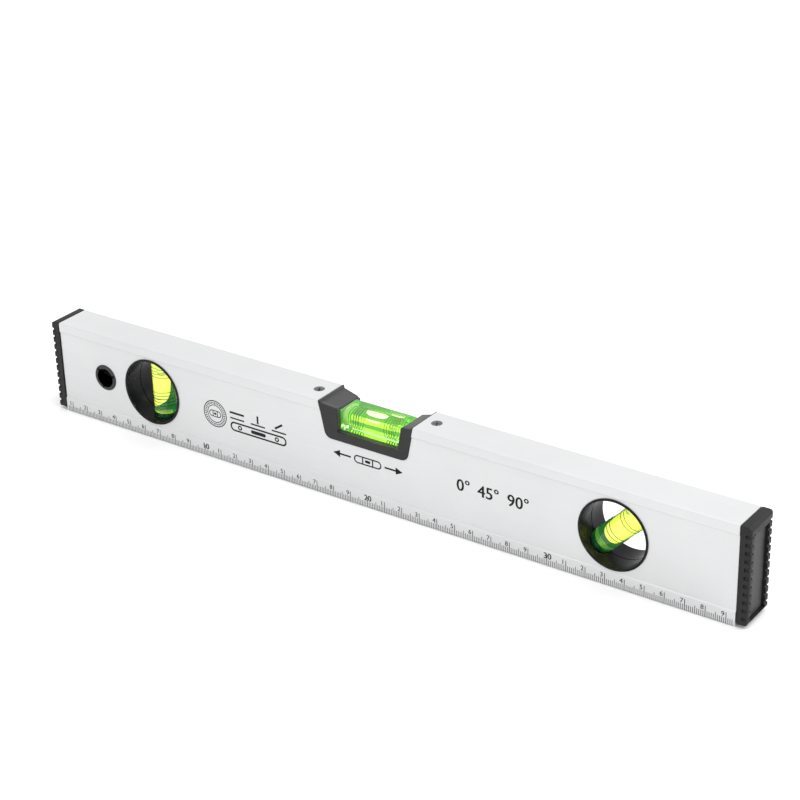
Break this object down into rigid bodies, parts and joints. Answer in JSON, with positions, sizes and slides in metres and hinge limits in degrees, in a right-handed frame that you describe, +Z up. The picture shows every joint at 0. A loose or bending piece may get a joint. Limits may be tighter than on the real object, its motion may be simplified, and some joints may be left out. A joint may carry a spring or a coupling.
{
  "type": "spirit level",
  "caption": "Box-section aluminium spirit level with a top-read centre vial, a plumb vial, a tilted vial, rubber end caps and a hang hole.",
  "frame": {"origin": "middle of the working face, under the centre vial", "axes": "+X along the level from the plumb vial towards the tilted vial, +Y through the thickness from the front to the back, +Z up from the working face to the top"},
  "size_m": [0.4, 0.0204, 0.05],
  "materials": {
    "beam_metal": "satin silver lacquer over extruded aluminium",
    "bumper_rubber": "moulded black rubber with ribbed corners",
    "core_plastic": "fine-textured dark grey plastic",
    "black_plastic": "satin black moulded plastic",
    "screw_steel": "zinc-plated countersunk screws",
    "clear_acrylic": "polished clear acrylic",
    "vial_liquid": "fluorescent yellow-green spirit",
    "bubble": "air bubble",
    "plug_plastic": "white sealing plug"
  },
  "bodies": {
    "level": {"beam": "beam_metal", "left_bumper": "bumper_rubber", "right_bumper": "bumper_rubber", "left_cap_core": "core_plastic", "right_cap_core": "core_plastic", "vial_cradle": "black_plastic", "cradle_screws": "screw_steel", "centre_vial_block": "clear_acrylic", "centre_liquid": "vial_liquid", "centre_vial_plug": "plug_plastic", "plumb_front_housing": "black_plastic", "plumb_rear_housing": "black_plastic", "plumb_vial_tube": "clear_acrylic", "plumb_liquid": "vial_liquid", "plumb_vial_plug": "plug_plastic", "angle_front_housing": "black_plastic", "angle_rear_housing": "black_plastic", "angle_vial_tube": "clear_acrylic", "angle_liquid": "vial_liquid", "angle_vial_plug": "plug_plastic", "hang_grommet_front": "black_plastic", "hang_grommet_rear": "black_plastic"},
    "centre_bubble_body": {"centre_bubble": "bubble"},
    "plumb_bubble_body": {"plumb_bubble": "bubble"},
    "angle_bubble_body": {"angle_bubble": "bubble"}
  },
  "joints": [
    {"name": "centre_bubble_slide", "type": "slide", "parent": "level", "child": "centre_bubble_body", "axis": [1, 0, 0], "range_m": [-0.007, 0.007], "stiffness_N_per_m": 1},
    {"name": "plumb_bubble_slide", "type": "slide", "parent": "level", "child": "plumb_bubble_body", "axis": [0, 0, 1], "range_m": [-0.0206, 0], "stiffness_N_per_m": 1, "springref_m": 0.01},
    {"name": "angle_bubble_slide", "type": "slide", "parent": "level", "child": "angle_bubble_body", "axis": [0.7071, 0, 0.7071], "range_m": [-0.0206, 0], "stiffness_N_per_m": 1, "springref_m": 0.01}
  ]
}
